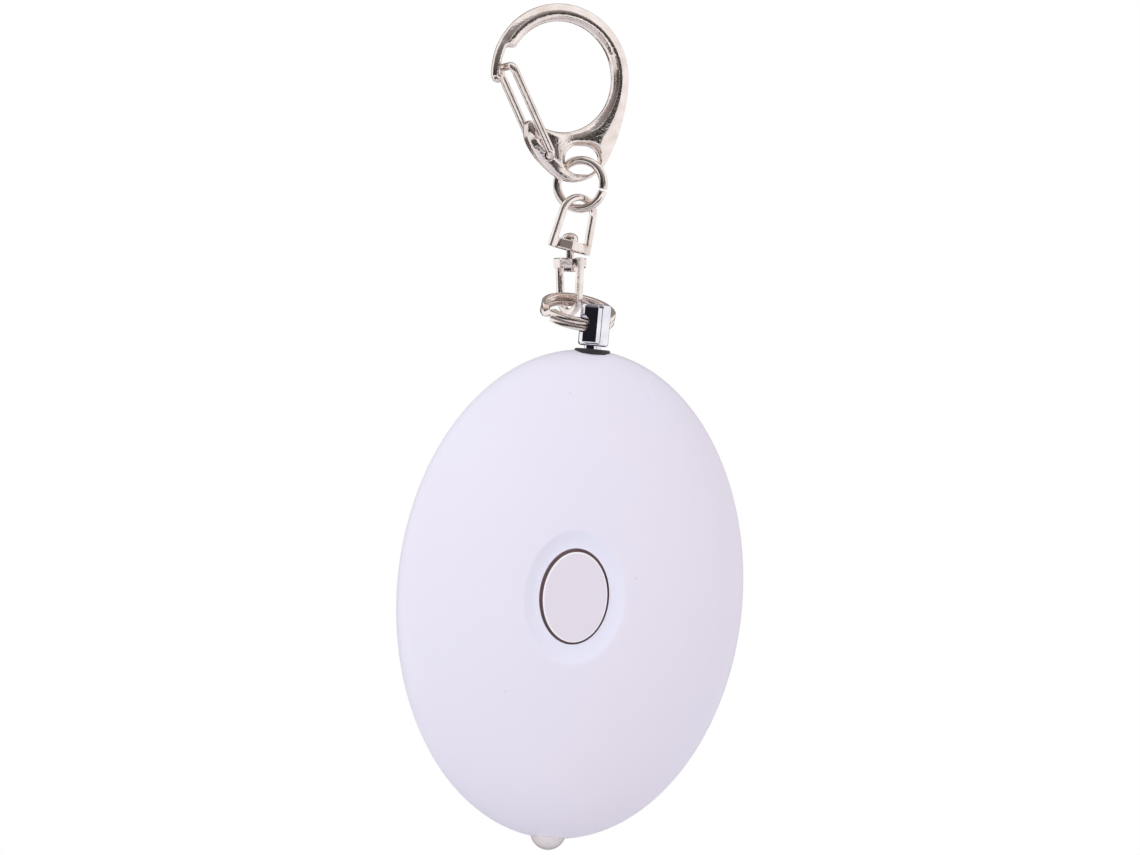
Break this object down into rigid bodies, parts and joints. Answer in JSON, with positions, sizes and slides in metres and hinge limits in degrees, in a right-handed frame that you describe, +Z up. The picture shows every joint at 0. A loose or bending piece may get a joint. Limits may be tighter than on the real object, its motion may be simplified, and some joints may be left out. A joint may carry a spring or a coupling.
{
  "type": "personal safety alarm",
  "caption": "Egg-shaped personal safety alarm with an oval panic button, a bottom lamp and a pull pin, hanging on a split ring, swivel and snap-hook clasp",
  "frame": {"origin": "centre of the clasp loop, where the alarm is hung from", "axes": "+Z up along the alarm, +X to the right seen from the button side, -Y the front with the button"},
  "size_m": [0.048, 0.0236, 0.1177],
  "materials": {
    "nickel": "bright nickel plate on cast zinc and steel wire",
    "chrome": "polished chrome plate",
    "white_plastic": "moulded white plastic, fine satin texture",
    "button_plastic": "moulded off-white plastic, satin",
    "black_plastic": "moulded black plastic",
    "clear_epoxy": "clear moulded epoxy",
    "steel": "plain nickel-plated steel",
    "brass": "sheet brass and phosphor bronze",
    "copper": "enamelled copper wire",
    "ferrite": "sintered ferrite",
    "board": "glass-epoxy laminate with green solder mask",
    "can": "sleeved aluminium can",
    "ceramic": "piezo ceramic, fired",
    "wire": "insulated wire"
  },
  "bodies": {
    "clasp": {"clasp_hook": "nickel"},
    "gate": {"clasp_gate": "nickel"},
    "jump_ring": {"jump_ring": "nickel"},
    "swivel_upper": {"swivel_upper_bail": "nickel"},
    "swivel_lower": {"swivel_lower_bail": "nickel", "swivel_rivet": "nickel"},
    "split_ring": {"split_ring": "nickel"},
    "pin": {"pull_pin": "chrome"},
    "alarm": {"front_shell": "white_plastic", "rear_shell": "white_plastic", "pin_bush": "black_plastic", "case_screws": "steel", "led": "clear_epoxy", "led_leads": "steel", "circuit_board": "board", "board_screws": "steel", "tact_switch_body": "black_plastic", "control_chip": "black_plastic", "boost_coil_core": "ferrite", "boost_coil_winding": "copper", "driver_transistor": "black_plastic", "capacitor": "can", "resistors": "black_plastic", "siren_disc": "brass", "siren_ceramic": "ceramic", "siren_wires": "wire", "battery_holder": "black_plastic", "battery_contact_positive": "steel", "battery_contact_negative": "steel", "pin_switch_housing": "black_plastic", "leaf_terminal": "brass", "contact_fixed": "brass", "battery_cell_1": "steel", "battery_cell_2": "steel", "battery_cell_3": "steel"},
    "button": {"button_cap": "button_plastic", "tact_switch_plunger": "black_plastic"},
    "leaf": {"contact_leaf": "brass"}
  },
  "joints": [
    {"name": "gate_open", "type": "hinge", "parent": "clasp", "child": "gate", "pos_m": [-0.00115, -0.00097, -0.01127], "axis": [-0.3066, 0.9505, -0.051], "range_deg": [0, 34], "stiffness_Nm_per_rad": 0.004, "springref_deg": -20.05},
    {"name": "jump_ring_turn", "type": "hinge", "parent": "clasp", "child": "jump_ring", "pos_m": [0.00421, 0.00061, -0.01469], "axis": [0.3746, 0.9272, 0], "range_deg": [-25, 25]},
    {"name": "swivel_swing", "type": "hinge", "parent": "jump_ring", "child": "swivel_upper", "pos_m": [0.00438, 0.00055, -0.01809], "axis": [0.9259, -0.3741, 0.0523], "range_deg": [-35, 35]},
    {"name": "swivel_spin", "type": "hinge", "parent": "swivel_upper", "child": "swivel_lower", "pos_m": [0.00354, 0.00055, -0.02337], "axis": [-0.0872, 0, 0.9962], "continuous": true},
    {"name": "split_ring_flop", "type": "hinge", "parent": "swivel_lower", "child": "split_ring", "pos_m": [0.0042, 0.00055, -0.03088], "axis": [-0.9719, -0.2353, -0.0056], "range_deg": [-35, 60]},
    {"name": "pin_swing", "type": "hinge", "parent": "split_ring", "child": "pin", "pos_m": [0.00751, -0.00732, -0.0342], "axis": [0.8672, 0.498, 0], "range_deg": [-60, 50]},
    {"name": "pin_pull", "type": "slide", "parent": "pin", "child": "alarm", "axis": [0, 0, -1], "range_m": [0, 0.0125]},
    {"name": "button_press", "type": "slide", "parent": "alarm", "child": "button", "axis": [0, 1, 0], "range_m": [0, 0.0005], "stiffness_N_per_m": 2000, "springref_m": -0.0003},
    {"name": "leaf_close", "type": "hinge", "parent": "alarm", "child": "leaf", "pos_m": [0.00916, -0.00732, -0.04505], "axis": [0, 1, 0], "range_deg": [0, 5.34]}
  ],
  "couplings": [
    {"joint": "leaf_close", "follows": "pin_pull", "rad_per_m": 7.2343}
  ]
}
